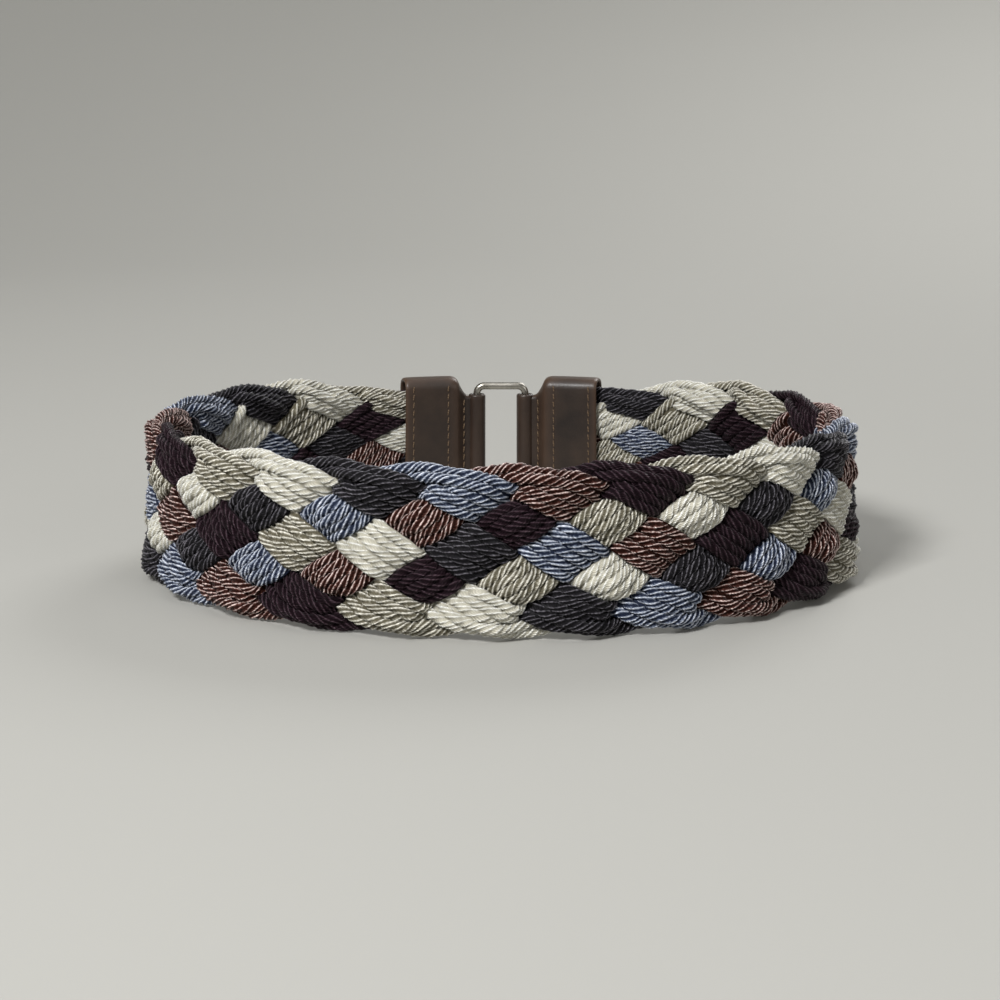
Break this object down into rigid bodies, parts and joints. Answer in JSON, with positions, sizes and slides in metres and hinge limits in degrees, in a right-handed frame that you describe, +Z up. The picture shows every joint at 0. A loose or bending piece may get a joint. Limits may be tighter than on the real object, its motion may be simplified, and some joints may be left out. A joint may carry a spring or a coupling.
{
  "type": "rope belt",
  "caption": "Flat plaited belt of soft twisted ropes, closed in a waist oval; its pressed ends sit in leather tabs on a plain wire loop at the back.",
  "frame": {"origin": "centre of the belt's oval, on the plane that its lower edge rests on", "axes": "+X to the wearer's left, -Y towards the front of the belt, +Z up to its upper edge"},
  "size_m": [0.2653, 0.2089, 0.0593],
  "materials": {
    "khaki_cord": "khaki twisted satin cord",
    "ivory_cord": "ivory twisted satin cord",
    "charcoal_cord": "charcoal twisted satin cord",
    "blue_cord": "grey-blue twisted satin cord",
    "rosewood_cord": "rosewood twisted satin cord",
    "plum_cord": "dark plum twisted satin cord",
    "tab_leather": "smooth dark leather",
    "loop_metal": "plain drawn wire"
  },
  "bodies": {
    "root": {"strand_khaki": "khaki_cord", "strand_ivory": "ivory_cord", "strand_charcoal": "charcoal_cord", "strand_blue": "blue_cord", "strand_rosewood": "rosewood_cord", "strand_plum": "plum_cord", "end_tab_left": "tab_leather", "end_tab_right": "tab_leather", "back_loop": "loop_metal"}
  },
  "joints": []
}
